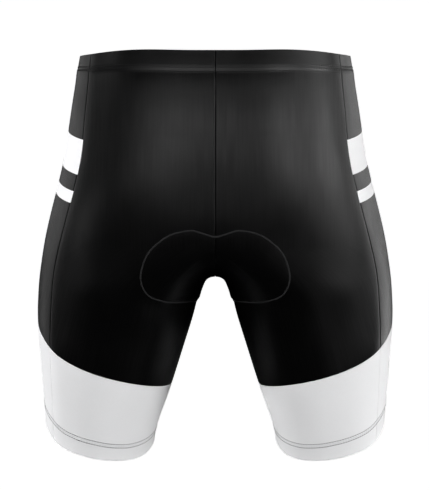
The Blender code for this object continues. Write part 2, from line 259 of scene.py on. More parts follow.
def leg_section(row):
    """Points round the right leg, in the net's order: centre-back line, outer side, centre-front line, inseam."""
    middle_x = (row.x_outer + row.x_inner) / 2
    middle_y = (row.front - row.back) / 2
    half_x = (row.x_outer - row.x_inner) / 2
    half_y = (row.front + row.back) / 2
    outline = []
    for turn in np.linspace(-pi / 2, 3 * pi / 2, 481):  # inseam, back, outer side, front, inseam
        s, c = quadrant(turn, row.square)
        x, y = half_x * s, -half_y * c + (row.skew * s * c if c > 0 else 0)
        z = (row.z_outer + row.z_inner) / 2 + (row.z_outer - row.z_inner) / 2 * s
        z -= row.lift_front * c + row.twist * s * c
        outline.append((middle_x + x, middle_y + y, z))
    outline = np.array(outline)
    along = arc_lengths(outline)
    side = len(outline) // 2
    back_seam = np.interp(row.seam_x, outline[: side + 1, 0], along[: side + 1])
    front_seam = np.interp(-row.seam_x, -outline[side:, 0], along[side:])
    back_line = back_seam * row.split
    front_line = along[-1] - (along[-1] - front_seam) * row.split
    marks = (
        spread(back_line, back_seam, BACK_COLUMNS)
        + spread(back_seam, front_seam, SIDE_COLUMNS)
        + spread(front_seam, front_line, FRONT_COLUMNS)
        + spread(front_line, along[-1], CROTCH_COLUMNS)
        + spread(0, back_line, CROTCH_COLUMNS)
    )
    return at_lengths(outline, marks)


def panel_of(column):
    if BACK_COLUMNS <= column < BACK_COLUMNS + SIDE_COLUMNS:
        return "side"
    if BACK_COLUMNS + SIDE_COLUMNS <= column < INSEAM:
        return "front"
    return "back"


def piece_of(column, row):
    name = panel_of(column) + "_right"
    if row == 0:
        return "waistband_" + name
    return ("leg_band_" if row >= LEG_BAND_ROW else "") + name


def build_net():
    """Both halves of the net: points, quads, and for each quad its side, its piece, and the (column, row) of its corners.
    The columns between centre back and the back inseam are numbered below zero."""
    points, quads, sides, names, corners = [], [], [], [], []

    def add(point):
        points.append(tuple(point))
        return len(points) - 1

    def quad(four, column, row, side):
        c = column if column < INSEAM else column - LOOP
        where = [(c, row), (c + 1, row), (c + 1, row + 1), (c, row + 1)]
        if SIDES[side] > 0:
            four, where = four[::-1], where[::-1]
        quads.append(four)
        corners.append(where)
        sides.append(side)
        names.append(piece_of(column, row))

    rows = {side: [] for side in SIDES}
    for entry in TORSO:
        section = torso_section(entry)
        section[0, 0] = section[-1, 0] = 0.0
        ends = add(section[0]), add(section[-1])
        for side, sign in SIDES.items():
            inner = [add((sign * p[0], p[1], p[2])) for p in section[1:-1]]
            rows[side].append([ends[0], *inner, ends[1]])
    rise = [add((0.0, r.y, r.z)) for r in RISE]
    for side, sign in SIDES.items():
        torso = rows[side]
        for r in range(len(torso) - 1):
            for c in range(RUN):
                quad([torso[r][c], torso[r][c + 1], torso[r + 1][c + 1], torso[r + 1][c]], c, r, side)
        ring = torso[-1] + rise[::-1]
        for number, entry in enumerate(LEG):
            section = [add((sign * p[0], p[1], p[2])) for p in leg_section(entry)]
            for c in range(LOOP):
                d = (c + 1) % LOOP
                quad([ring[c], ring[d], section[d], section[c]], c, len(TORSO) - 1 + number, side)
            ring = section
    return np.array(points), quads, sides, names, corners


Surface = namedtuple("Surface", "points normals faces owner where")


def smooth(points, quads, corners, levels):
    """The Catmull-Clark limit surface of a net. owner is the net quad of each face, where is each corner's (column, row)."""
    mesh = bpy.data.meshes.new("net")
    mesh.from_pydata([tuple(p * MM) for p in points], [], quads)
    mesh.polygons.foreach_set("use_smooth", [True] * len(mesh.polygons))
    layer = mesh.uv_layers.new(name="where")
    layer.uv.foreach_set("vector", np.array(corners, np.float32).ravel())
    owner = mesh.attributes.new("owner", "INT", "FACE")
    owner.data.foreach_set("value", np.arange(len(quads), dtype=np.int32))
    obj = bpy.data.objects.new("net", mesh)
    bpy.context.scene.collection.objects.link(obj)
    modifier = obj.modifiers.new("smooth", "SUBSURF")
    modifier.levels = modifier.render_levels = levels
    modifier.quality = 6
    modifier.use_limit_surface = True
    modifier.uv_smooth = "NONE"
    made = obj.evaluated_get(bpy.context.evaluated_depsgraph_get()).to_mesh()
    count, loops = len(made.vertices), len(made.loops)
    co, normals = np.empty(count * 3, np.float32), np.empty(count * 3, np.float32)
    faces, where = np.empty(loops, np.int32), np.empty(loops * 2, np.float32)
    owners = np.empty(len(made.polygons), np.int32)
    made.vertices.foreach_get("co", co)
    made.vertex_normals.foreach_get("vector", normals)
    made.loops.foreach_get("vertex_index", faces)
    made.uv_layers[0].uv.foreach_get("vector", where)
    made.attributes["owner"].data.foreach_get("value", owners)
    obj.to_mesh_clear()
    bpy.data.objects.remove(obj, do_unlink=True)
    bpy.data.meshes.remove(mesh)
    return Surface(
        co.reshape(-1, 3).astype(float) / MM,
        normals.reshape(-1, 3).astype(float),
        faces.reshape(-1, 4),
        owners,
        where.reshape(-1, 4, 2).astype(float),
    )


def relaxed_net():
    """The net, moved until its smooth surface passes through every section point."""
    target, quads, sides, names, corners = build_net()
    net = target.copy()
    for _ in range(RELAX_STEPS):
        net += target - smooth(net, quads, corners, 1).points[: len(target)]
    return net, quads, np.array(sides), np.array(names), corners


# ---------------------------------------------------------------- a grid over the right half, for distances and stitches

STEPS = 2**FINE
FIRST_COLUMN = -CROTCH_COLUMNS


def grid_of(surface, mask):
    """Points and normals by [row, column], the surface's own rows and columns at its fine spacing."""
    shape = (LAST_ROW * STEPS + 1, (INSEAM - FIRST_COLUMN) * STEPS + 1, 3)
    points, normals = np.full(shape, np.nan), np.full(shape, np.nan)
    where = np.rint(surface.where[mask].reshape(-1, 2) * STEPS).astype(int)
    rows, columns = where[:, 1], where[:, 0] - FIRST_COLUMN * STEPS
    points[rows, columns] = surface.points[surface.faces[mask].ravel()]
    normals[rows, columns] = surface.normals[surface.faces[mask].ravel()]
    return points, normals


def distances(points):
    """Distance round from centre back, and distance down from the waist, at every place of the grid."""
    middle, last = -FIRST_COLUMN * STEPS, (RUN - FIRST_COLUMN) * STEPS
    seat = (len(TORSO) - 1) * STEPS
    steps = np.linalg.norm(np.diff(points, axis=1), axis=2)
    around = np.zeros(points.shape[:2])
    around[:, middle + 1 :] = np.cumsum(steps[:, middle:], axis=1)
    around[:, :middle] = -np.cumsum(steps[:, :middle][:, ::-1], axis=1)[:, ::-1]
    steps = np.linalg.norm(np.diff(points, axis=0), axis=2)
    down = np.zeros(points.shape[:2])
    down[1:] = np.cumsum(np.nan_to_num(steps), axis=0)
    for columns, beside in ((slice(0, middle), middle), (slice(last + 1, None), last)):
        down[:, columns] += down[seat, beside] - down[seat, columns]
    return around, down


def looked_up(table, where):
    """Values of a grid table at (column, row) places, between its own by straight interpolation."""
    column, row = (where[..., 0] - FIRST_COLUMN) * STEPS, where[..., 1] * STEPS
    j = np.clip(np.floor(column + 1e-4).astype(int), 0, table.shape[1] - 2)
    i = np.clip(np.floor(row + 1e-4).astype(int), 0, table.shape[0] - 2)
    s, t = np.clip(column - j, 0, 1), np.clip(row - i, 0, 1)
    s, t = np.where(s < 1e-3, 0, s), np.where(t < 1e-3, 0, t)
    found = 0.0
    for di, dj, weight in ((0, 0, (1 - t) * (1 - s)), (0, 1, (1 - t) * s), (1, 0, t * (1 - s)), (1, 1, t * s)):
        value = table[i + di, j + dj]
        weight = weight[..., None] if value.ndim > weight.ndim else weight
        found = found + np.where(weight > 0, np.nan_to_num(value) * weight, 0.0)
    return found


# ---------------------------------------------------------------- cloth pieces


def kind_of_edge(where):
    row = where[1]
    for line, kind in ((0, "waist_fold"), (LAST_ROW, "hem_fold"), (1, "band_seam"), (LEG_BAND_ROW, "leg_band_seam")):
        if abs(row - line) < 1e-3:
            return kind
    return "side_seam" if min(abs(where[0] - c) for c in (BACK_COLUMNS, BACK_COLUMNS + SIDE_COLUMNS)) < 1e-3 else "seam"


def border_edges(faces):
    """Directed edges that only one face has."""
    seen = {}
    for face in faces:
        for a, b in zip(face, face[1:] + face[:1]):
            key = (a, b) if a < b else (b, a)
            seen[key] = None if key in seen else (a, b)
    return [e for e in seen.values() if e]


Cloth = namedtuple("Cloth", "points normals faces where dip back")


def cut_piece(surface, mask):
    """One cut piece: drawn back from its seams, with extra rows of faces beside its edges and the dip at each point."""
    used, local = np.unique(surface.faces[mask], return_inverse=True)
    local = local.reshape(-1, 4)
    where = np.zeros((len(used), 2))
    where[local] = surface.where[mask]
    points, normals = surface.points[used].copy(), surface.normals[used].copy()
    edge_of = {e.kind: e for e in EDGES}
    quads = local.tolist()
    border = border_edges(quads)
    centre = {}
    for quad in quads:
        for a, b in zip(quad, quad[1:] + quad[:1]):
            centre[a, b] = quad
    inward, kinds = {}, {}
    for a, b in border:
        kind = kind_of_edge((where[a] + where[b]) / 2)
        for v in (a, b):
            kinds.setdefault(v, []).append(edge_of[kind])
        if kind.endswith("fold"):
            continue
        across = np.cross(normals[a] + normals[b], points[b] - points[a])
        across /= np.linalg.norm(across)
        if np.dot(points[centre[a, b]].mean(0) - points[a], across) < 0:
            across = -across
        for v in (a, b):
            inward.setdefault(v, []).append(across)
    back = np.zeros((len(used), 3))
    for v, ways in inward.items():
        total = ways[0] if len(ways) == 1 else (ways[0] + ways[1]) / (1 + np.dot(ways[0], ways[1]))
        back[v] = total * SEAM_GAP / 2
    points += back
    deepest = {v: max(found, key=lambda e: e.dip) for v, found in kinds.items()}

    ids, weights, dips, faces, cuts, shares = [], [], [], [], {}, {}

    def fresh(of, share, dip):
        ids.append(list(of) + [of[0]] * (4 - len(of)))
        weights.append(list(share) + [0.0] * (4 - len(share)))
        dips.append(dip)
        return len(used) + len(ids) - 1

    def cut(b, i):
        if (b, i) not in cuts:
            length = np.linalg.norm(points[i] - points[b])
            first, second = (min(d / length, most) for d, most in zip(CUTS, (0.3, 0.62)))
            edge = deepest[b]
            shares[b, i] = (first, second)
            cuts[b, i] = (
                fresh((b, i), (1 - first, first), edge.first),
                fresh((b, i), (1 - second, second), edge.second),
            )
        return cuts[b, i]

    for quad in quads:
        held = [v in deepest for v in quad]
        number = sum(held)
        if number == 2 and (held[0] != held[2]):
            turn = next(k for k in range(4) if held[k] and held[(k + 1) % 4])
            a, b, c, d = quad[turn:] + quad[:turn]
            (b1, b2), (a1, a2) = cut(b, c), cut(a, d)
            faces += [[a, b, b1, a1], [a1, b1, b2, a2], [a2, b2, c, d]]
        elif number == 1:
            turn = held.index(True)
            a, b, c, d = quad[turn:] + quad[:turn]
            (p1, p2), (s1, s2) = cut(a, b), cut(a, d)
            faces += [[a, p1, s1], [p1, p2, s2, s1], [p2, b, c], [p2, c, s2], [s2, c, d]]
        elif number == 3:
            turn = (held.index(False) + 1) % 4
            a, b, c, d = quad[turn:] + quad[:turn]  # d is the inner corner, b the outer one
            (a1, a2), (c1, c2) = cut(a, d), cut(c, d)
            (y1, y2), (x1, x2) = shares[a, d], shares[c, d]
            at = {(0, 0): b, (3, 0): a, (0, 3): c, (3, 3): d, (3, 1): a1, (3, 2): a2, (1, 3): c1, (2, 3): c2}
            for i, x in enumerate((0.0, x1, x2, 1.0)):
                for j, y in enumerate((0.0, y1, y2, 1.0)):
                    if (i, j) in at:
                        continue
                    edge = deepest[a] if j < i else deepest[c]
                    dip = (edge.dip, edge.first, edge.second)[min(i, j)]
                    share = ((1 - x) * (1 - y), x * (1 - y), (1 - x) * y, x * y)
                    at[i, j] = fresh((b, a, c, d), share, dip)
            faces += [[at[i + 1, j], at[i, j], at[i, j + 1], at[i + 1, j + 1]] for i in range(3) for j in range(3)]
        else:
            faces.append(quad)
    ids, weights = np.array(ids), np.array(weights)[..., None]
    dip = np.zeros(len(used))
    for v, edge in deepest.items():
        dip[v] = edge.dip
    made_normals = (normals[ids] * weights).sum(1)
    made_normals /= np.linalg.norm(made_normals, axis=1, keepdims=True)
    return Cloth(
        np.concatenate([points, (points[ids] * weights).sum(1)]),
        np.concatenate([normals, made_normals]),
        faces,
        np.concatenate([where, (where[ids] * weights).sum(1)]),
        np.concatenate([dip, dips]),
        np.concatenate([back, (back[ids] * weights).sum(1)]),
    )


def make_object(name, points, faces, uv, materials, sharp=50):
    """A mesh object from millimetre points. uv is one pair of millimetres per point."""
    mesh = bpy.data.meshes.new(name)
    mesh.from_pydata([tuple(p) for p in np.asarray(points) * MM], [], faces)
    if uv is not None:
        index = np.empty(len(mesh.loops), np.int32)
        mesh.loops.foreach_get("vertex_index", index)
        layer = mesh.uv_layers.new(name="cloth")
        layer.uv.foreach_set("vector", (np.asarray(uv)[index] * MM).astype(np.float32).ravel())
    for material in materials:
        mesh.materials.append(material)
    mesh.validate()
    mesh.shade_smooth()
    if sharp:
        mesh.set_sharp_from_angle(angle=radians(sharp))
    obj = bpy.data.objects.new(name, mesh)
    bpy.context.scene.collection.objects.link(obj)
    return obj


def mirrored(points, faces, sign):
    """The same points and faces, or their mirror image for the left side."""
    if sign > 0:
        return points, faces
    return points * np.array((-1.0, 1.0, 1.0)), [f[::-1] for f in faces]


def closed_wall(cloth, outside, inside, uv):
    """Points, faces and uv of a closed wall between two copies of a cut piece's faces."""
    count = len(outside)
    faces = list(cloth.faces) + [[v + count for v in f[::-1]] for f in cloth.faces]
    faces += [[b, a, a + count, b + count] for a, b in border_edges(cloth.faces)]
    return np.concatenate([outside, inside]), faces, np.concatenate([uv, uv])


# ---------------------------------------------------------------- seat pad

WIDTH_SHARES = tuple(np.round(np.concatenate([np.linspace(0, 0.86, 15), (0.9, 0.935, 0.965, 0.985, 1.0)]), 4))


def through(x, xs, ys):
    """A smooth curve through table values: cubic pieces with the slopes of the neighbouring chords."""
    xs, ys = np.asarray(xs, float), np.asarray(ys, float)
    slope = np.gradient(ys, xs)
    k = np.clip(np.searchsorted(xs, x) - 1, 0, len(xs) - 2)
    h = xs[k + 1] - xs[k]
    t = (np.asarray(x) - xs[k]) / h
    a, b = (1 + 2 * t) * (1 - t) ** 2, t * t * (3 - 2 * t)
    return a * ys[k] + b * ys[k + 1] + h * (t * (1 - t) ** 2 * slope[k] - t * t * (1 - t) * slope[k + 1])


def rise_line(points):
    """The cut of a surface by x = 0, from the waist at centre back, under the crotch, to the waist at centre front."""
    line = points[np.abs(points[:, 0]) < 0.01]
    middle = (TORSO[-1].z + TORSO[0].z) / 2
    return line[np.argsort([(atan2(middle - p[2], -p[1]) + pi / 2) % (2 * pi) for p in line])]


def walk(tree, start, heading, distances, stride=2.0):
    """Points and normals at the given distances along the straightest path over a surface."""
    place, normal, _, _ = tree.find_nearest(Vector(start))
    found, gone = [], 0.0
    for distance in distances:
        while gone < distance - 1e-9:
            step = min(stride, distance - gone)
            ahead = (heading - normal * heading.dot(normal)).normalized() * step
            arrived, normal, _, _ = tree.find_nearest(place + ahead)
            heading, place = arrived - place, arrived
            gone += step
        found.append((np.array(place), np.array(normal)))
    return found


def pad_rows(surface):
    """The pad's rows on the inner face of the cloth, right half: points, outward normals and distance to its outline."""
    inner = surface.points - PANEL_WALL * surface.normals
    tree = BVHTree.FromPolygons([Vector(p) for p in inner], surface.faces.tolist())
    line = rise_line(inner)
    back = line[line[:, 1] < -80]
    notch = np.interp(-PAD_TOP, -back[:, 2], arc_lengths(back))
    alongs = [row.along for row in PAD]
    stations = np.concatenate([[0, 1.5, 3.5], np.arange(6, 257, 4.0), [259, 261.5, 263, 264]])
    headings = through(stations, alongs, [row.heading for row in PAD])
    reaches = through(stations, alongs, [row.reach for row in PAD])
    points, normals, edge = [], [], []
    for along, heading_angle, reach in zip(stations, headings, reaches):
        start = Vector(at_lengths(line, [notch + along])[0])
        before, after = at_lengths(line, [notch + along - 6, notch + along + 6])
        up = Vector(before - after).normalized()
        out = Vector((1, 0, 0)).cross(up)
        out = -out if out.dot(start - Vector((0, 0, TORSO[-2].z))) < 0 else out
        heading = Vector((cos(radians(heading_angle)), 0, 0)) + up * sin(radians(heading_angle))
        half = walk(tree, start, heading, [reach * share for share in WIDTH_SHARES[1:]])
        points.append([np.array(start)] + [p for p, _ in half])
        normals.append([np.array(out)] + [n for _, n in half])
        edge.append([reach * (1 - share) for share in WIDTH_SHARES])
    points, normals, edge = np.array(points), np.array(normals), np.array(edge)
    ends = np.minimum(stations, stations[-1] - stations)[:, None]
    return points, normals, np.minimum(edge, ends), stations


def pad_outline(points, normals):
    """The right half of the pad's outline, from its notch at the back round to centre front."""
    places = np.concatenate([points[0, :-1], points[:, -1], points[-1, -2::-1]])
    ways = np.concatenate([normals[0, :-1], normals[:, -1], normals[-1, -2::-1]])
    return places + ways * PANEL_WALL, ways


def eased(x, start, end):
    t = np.clip((x - start) / (end - start), 0, 1)
    return t * t * (3 - 2 * t)


def pad_push(points, rows, edge):
    """How far the pad pushes each point of the cloth out: nothing at its outline, all of it well inside."""
    height, width = rows.shape[:2]
    faces = [
        (r * width + c, r * width + c + 1, (r + 1) * width + c + 1, (r + 1) * width + c)
        for r in range(height - 1)
        for c in range(width - 1)
    ]
    flat = rows.reshape(-1, 3)
    tree = BVHTree.FromPolygons([Vector(p) for p in flat], faces)
    edge = edge.ravel()
    push = np.zeros(len(points))
    for number, point in enumerate(points):
        place, _, face, away = tree.find_nearest(Vector(point), PANEL_WALL + 1.2)
        if place is None or away > PANEL_WALL + 0.35:
            continue
        corners = list(faces[face])
        near = 1 / (np.linalg.norm(flat[corners] - np.array(place), axis=1) + 0.05)
        inside = min(np.dot(near, edge[corners]) / near.sum() / PAD_RAMP, 1.0)
        more = (1 - eased(abs(point[0]), *PAD_INSIDE_X)) * eased(-point[2], *(-z for z in PAD_INSIDE_Z))
        most = PAD_BULGE + (PAD_BULGE_INSIDE - PAD_BULGE) * more
        most += CROTCH_DROP * np.exp(-((point[0] / CROTCH_HALF) ** 2)) * eased(-point[2], *(-z for z in CROTCH_Z))
        push[number] = most * inside * inside * (3 - 2 * inside)
    return push


# ---------------------------------------------------------------- threads and ridges


def tangents(points):
    ahead = np.roll(points, -1, axis=0) - np.roll(points, 1, axis=0)
    return ahead / np.linalg.norm(ahead, axis=1, keepdims=True)


def unit(v):
    return v / np.linalg.norm(v, axis=-1, keepdims=True)


def stitch_shape(length, width, height):
    """One stitch lying along x on z = 0: rounded, sunk at both ends."""
    points, faces = [(-length / 2, 0, -height)], []
    turns = np.linspace(0, 2 * pi, 7)[:-1]
    for share in (-0.8, -0.35, 0.35, 0.8):
        size = (1 - abs(share) ** 3) ** 0.5
        for turn in turns:
            points.append(
                (share * length / 2, width / 2 * size * cos(turn), height * (size - 0.75) + height * 0.6 * size * sin(turn))
            )
    points.append((length / 2, 0, -height))
    for k in range(6):
        n = (k + 1) % 6
        faces.append([0, 1 + n, 1 + k])
        for ring in range(3):
            a, b = 1 + ring * 6, 1 + (ring + 1) * 6
            faces.append([a + k, a + n, b + n, b + k])
        faces.append([len(points) - 1, 19 + k, 19 + n])
    return np.array(points), faces


def stitches(centres, ways, normals, shape):
    """Copies of one stitch shape at each centre, along each way, as one set of points and faces."""
    form, form_faces = shape
    side = unit(np.cross(normals, ways))
    points = (
        centres[:, None]
        + form[None, :, 0, None] * ways[:, None]
        + form[None, :, 1, None] * side[:, None]
        + form[None, :, 2, None] * normals[:, None]
    )
    size = len(form)
    faces = [[v + k * size for v in f] for k in range(len(centres)) for f in form_faces]
    return points.reshape(-1, 3), faces


def merged(parts):
    points, faces, start = [], [], 0
    for some, its in parts:
        points.append(some)
        faces += [[v + start for v in f] for f in its]
        start += len(some)
    return np.concatenate(points), faces


def every(points, normals, pitch, closed):
    """Points, ways and normals spaced by about one pitch along a line."""
    if closed:
        points, normals = np.concatenate([points, points[:1]]), np.concatenate([normals, normals[:1]])
    along = arc_lengths(points)
    count = int(round(along[-1] / pitch))
    at = (np.arange(count) + 0.5) * along[-1] / count
    place = at_lengths(points, at)
    step = pitch * 0.3
    way = unit(at_lengths(points, at + step) - at_lengths(points, at - step))
    normal = unit(np.stack([np.interp(at, along, normals[:, k]) for k in range(3)], axis=1))
    way = unit(way - normal * (way * normal).sum(1, keepdims=True))
    return place, way, normal


def by_distance_out(table, x):
    """A table's value at distances from the centre line."""
    return np.interp(abs(x), *zip(*table))


def band_line(offset, line_row, columns, grid, around_down, lift, raised=((0, 0.0), (1, 0.0))):
    """Points and normals along a band, at a distance below (or, if negative, above) one of its section lines."""
    _, down = around_down
    places = []
    rows = np.arange(down.shape[0]) / STEPS
    for column in columns:
        j = int(round((column - FIRST_COLUMN) * STEPS))
        row = int(round(line_row * STEPS))
        start = down[row, j] - by_distance_out(raised, grid[0][row, j, 0])
        places.append((column, np.interp(start + offset, down[:, j], rows)))
    where = np.array(places)
    points, normals = looked_up(grid[0], where), unit(looked_up(grid[1], where))
    return points + normals * lift, normals


def ribbon(points, normals, profile, closed):
    """A strip swept along a line: profile is its (across, height) section, closed underneath."""
    way = tangents(points) if closed else unit(np.gradient(points, axis=0))
    side = unit(np.cross(normals, way))
    section = np.array(profile)
    made = points[:, None] + section[None, :, :1] * side[:, None] + section[None, :, 1:] * normals[:, None]
    count, width = len(points), len(section)
    faces = []
    for r in range(count if closed else count - 1):
        s = (r + 1) % count
        for k in range(width):
            n = (k + 1) % width
            faces.append([r * width + k, r * width + n, s * width + n, s * width + k])
    if not closed:
        faces.append(list(range(width))[::-1])
        faces.append([(count - 1) * width + k for k in range(width)])
    return made.reshape(-1, 3), faces


RIDGE_PROFILE = [(-1.15, -0.12), (-0.75, 0.18), (-0.3, 0.36), (0.0, 0.40), (0.3, 0.36), (0.75, 0.18), (1.15, -0.12), (0.0, -0.45)]


# ---------------------------------------------------------------- materials


class Nodes:
    """Short names for building one material's node tree."""

    def __init__(self, name):
        self.material = bpy.data.materials.new(name)
        self.material.use_nodes = True
        self.tree = self.material.node_tree
        self.shader = self.tree.nodes["Principled BSDF"]

    def put(self, kind, *inputs, **settings):
        node = self.tree.nodes.new(kind)
        for key, value in settings.items():
            setattr(node, key, value)
        for number, value in enumerate(inputs):
            self.feed(node.inputs[number], value)
        return node

    def feed(self, socket, value):
        if value is None:
            return
        if hasattr(value, "outputs"):
            value = value.outputs[0]
        if hasattr(value, "links"):
            self.tree.links.new(value, socket)
        else:
            socket.default_value = value

    def math(self, operation, *values):
        return self.put("ShaderNodeMath", *values, operation=operation)

    def blend(self, share, first, second):
        node = self.put("ShaderNodeMix", data_type="RGBA")
        for socket, value in (
            (node.inputs["Factor"], share),
            (node.inputs[6], (*first, 1) if isinstance(first, tuple) else first),
            (node.inputs[7], (*second, 1) if isinstance(second, tuple) else second),
        ):
            self.feed(socket, value)
        return node.outputs[2]

    def range(self, value, low, high, new_low, new_high):
        node = self.put("ShaderNodeMapRange", value)
        for socket, number in zip(("From Min", "From Max", "To Min", "To Max"), (low, high, new_low, new_high)):
            node.inputs[socket].default_value = number
        return node.outputs[0]

    def noise(self, size, detail, where=None):
        node = self.put("ShaderNodeTexNoise")
        place = where or self.put("ShaderNodeTexCoord").outputs["Object"]
        self.feed(node.inputs["Vector"], place)
        node.inputs["Scale"].default_value = 1 / (size * MM)
        node.inputs["Detail"].default_value = detail
        return node.outputs["Fac"]

    def bump(self, height, strength, distance):
        node = self.put("ShaderNodeBump")
        node.inputs["Strength"].default_value = strength
        node.inputs["Distance"].default_value = distance * MM
        self.feed(node.inputs["Height"], height)
        self.feed(self.shader.inputs["Normal"], node.outputs["Normal"])

    def set(self, **values):
        for name, value in values.items():
            self.shader.inputs[name.replace("_", " ")].default_value = value


STREAK_WIDTH, STREAK_LENGTH = 1.5, 45.0  # columns of stitches pull a little unevenly: fine upright lines, this size


def knit_cloth(name, dark, light, wale, course, relief, roughness, sheen, specular, streaky):
    """Fine jersey: columns of V-shaped stitches that run down the panel, with painted shade: the colour is lighter
    where they stand proud and darker between them.
    """
    n = Nodes(name)
    cloth = n.put("ShaderNodeSeparateXYZ", n.put("ShaderNodeUVMap", uv_map="cloth"))
    across = n.math("FRACT", n.math("DIVIDE", cloth.outputs[0], wale * MM))
    off = n.math("MULTIPLY", n.math("ABSOLUTE", n.math("SUBTRACT", across, 0.5)), 2.0)  # 0 mid column, 1 between two
    down = n.math("ADD", n.math("DIVIDE", cloth.outputs[1], course * MM), n.math("MULTIPLY", off, 0.6))
    legs = n.math("MULTIPLY", n.math("SINE", n.math("MULTIPLY", down, 2 * pi)), 0.22)
    column = n.math("SUBTRACT", 1.0, n.math("MULTIPLY", off, off))
    height = n.math("ADD", n.math("MULTIPLY", column, 0.72), legs)
    cloudy = n.noise(38, 3)
    fibre = n.noise(1.6, 4)
    # painted shade: the colour follows the stitches' relief, darker in their hollows, mixed with random cloudy and
    # fibre tone
    share = n.math("ADD", n.math("MULTIPLY", height, 0.55), n.math("MULTIPLY", n.math("ADD", cloudy, fibre), 0.25))
    n.feed(n.shader.inputs["Base Color"], n.blend(share, dark, light))
    n.feed(n.shader.inputs["Roughness"], n.range(cloudy, 0.3, 0.7, roughness - 0.03, roughness + 0.03))
    n.bump(height, relief, 0.09)
    n.set(Sheen_Weight=sheen, Sheen_Roughness=0.45, Specular_IOR_Level=specular)
    if streaky:
        along = n.math("MULTIPLY", cloth.outputs[1], STREAK_WIDTH / STREAK_LENGTH)
        streak = n.noise(STREAK_WIDTH, 0, n.put("ShaderNodeCombineXYZ", cloth.outputs[0], along))
        shine = n.range(streak, 0.3, 0.7, specular * (1 - streaky), specular * (1 + streaky))
        n.feed(n.shader.inputs["Specular IOR Level"], shine)
    n.material.diffuse_color = (*light, 1)
    return n.material


def elastic_cloth(name, dark, light, roughness, sheen, specular):
    """Jersey over elastic: ribs that run round the band, crossed by the jersey's own columns."""
    n = Nodes(name)
    cloth = n.put("ShaderNodeSeparateXYZ", n.put("ShaderNodeUVMap", uv_map="cloth"))
    across = n.math("SINE", n.math("MULTIPLY", cloth.outputs[0], 2 * pi / (0.95 * MM)))
    around = n.math("SINE", n.math("MULTIPLY", cloth.outputs[1], 2 * pi / (1.7 * MM)))
    height = n.math("ADD", n.math("MULTIPLY", across, 0.3), n.math("MULTIPLY", around, 0.25))
    cloudy = n.noise(30, 3)
    # painted shade: the colour follows the ribs' relief, darker in their hollows, mixed with a random cloudy tone
    share = n.math("ADD", n.math("MULTIPLY", height, 0.4), n.math("MULTIPLY", cloudy, 0.8))
    n.feed(n.shader.inputs["Base Color"], n.blend(share, dark, light))
    n.feed(n.shader.inputs["Roughness"], n.range(cloudy, 0.3, 0.7, roughness - 0.03, roughness + 0.03))
    n.bump(height, 0.22, 0.09)
    n.set(Sheen_Weight=sheen, Sheen_Roughness=0.45, Specular_IOR_Level=specular)
    n.material.diffuse_color = (*light, 1)
    return n.material


def thread(name, dark, light, roughness, specular=0.4):
    """Twisted sewing thread: fine slanting plies."""
    n = Nodes(name)
    place = n.put("ShaderNodeTexCoord").outputs["Object"]
    wave = n.put("ShaderNodeTexWave", place)
    wave.inputs["Scale"].default_value = 1800.0
    wave.inputs["Distortion"].default_value = 1.5
    fleck = n.noise(6, 2)
    # painted shade: the colour follows the plies' relief, darker in the grooves between them, mixed with random fleck
    share = n.math("ADD", n.math("MULTIPLY", wave.outputs["Fac"], 0.5), n.math("MULTIPLY", fleck, 0.5))
    n.feed(n.shader.inputs["Base Color"], n.blend(share, dark, light))
    n.bump(wave.outputs["Fac"], 0.25, 0.05)
    n.set(Roughness=roughness, Specular_IOR_Level=specular)
    n.material.diffuse_color = (*light, 1)
    return n.material


def fleece(name, dark, light):
    """Brushed pad cover: soft short nap, mottled."""
    n = Nodes(name)
    nap, tuft = n.noise(0.7, 5), n.noise(5.5, 4)
    share = n.math("ADD", n.math("MULTIPLY", nap, 0.6), n.math("MULTIPLY", tuft, 0.4))
    n.feed(n.shader.inputs["Base Color"], n.blend(share, dark, light))
    n.bump(n.math("ADD", n.math("MULTIPLY", nap, 0.6), tuft), 0.5, 0.4)
    n.set(Roughness=0.95, Sheen_Weight=0.35, Sheen_Roughness=0.5, Specular_IOR_Level=0.2)
    n.material.diffuse_color = (*light, 1)
    return n.material


BLACK = knit_cloth("black_jersey", (0.0007, 0.0007, 0.00074), (0.0013, 0.0013, 0.00136), 0.9, 0.8, 0.35, 0.38, 0.0, 0.107, 0.12)
WHITE = knit_cloth("white_jersey", (0.66, 0.66, 0.67), (0.78, 0.78, 0.79), 0.9, 0.8, 0.25, 0.6, 0.03, 0.02, 0.0)
PRINT = knit_cloth("white_print", (0.80, 0.80, 0.81), (0.90, 0.90, 0.91), 0.9, 0.8, 0.25, 0.6, 0.03, 0.02, 0.0)
ELASTIC = elastic_cloth("black_elastic", (0.0007, 0.0007, 0.00074), (0.0013, 0.0013, 0.00136), 0.38, 0.0, 0.107)
GREY_THREAD = thread("grey_thread", (0.018, 0.018, 0.019), (0.040, 0.040, 0.042), 0.7, 0.2)
PALE_THREAD = thread("pale_thread", (0.50, 0.50, 0.51), (0.60, 0.60, 0.61), 0.6, 0.2)
# dark grey thread, lighter than the cloth so that the pad's ridge reads as a lit line even where shade falls: partly
# painted highlight
PAD_LINE_PAINTED_HIGHLIGHT = thread("pad_line_thread_painted_highlight", (0.012, 0.012, 0.0124), (0.020, 0.020, 0.0205), 0.7, 0.03)
BLACK_CORD = thread("black_cord", (0.0020, 0.0020, 0.0021), (0.0040, 0.0040, 0.0042), 0.36, 0.16)
BLACK_THREAD = thread("black_thread", (0.0030, 0.0030, 0.0031), (0.0065, 0.0065, 0.0067), 0.5, 0.10)
PAD_COVER = fleece("pad_cover", (0.018, 0.018, 0.020), (0.042, 0.042, 0.046))

# ---------------------------------------------------------------- making the garment

net, net_quads, net_sides, net_names, net_corners = relaxed_net()
cloth_surface = smooth(net, net_quads, net_corners, FINE)
band_surface = smooth(net, net_quads, net_corners, FINE_BAND)
right = net_sides == "right"
grid = grid_of(cloth_surface, right[cloth_surface.owner])
around, down = distances(grid[0])
band_foot = looked_up(down, np.stack([np.arange(0, RUN + 1), np.ones(RUN + 1)], axis=1))

pad_points, pad_normals, pad_edge, pad_stations = pad_rows(smooth(net, net_quads, net_corners, 3))


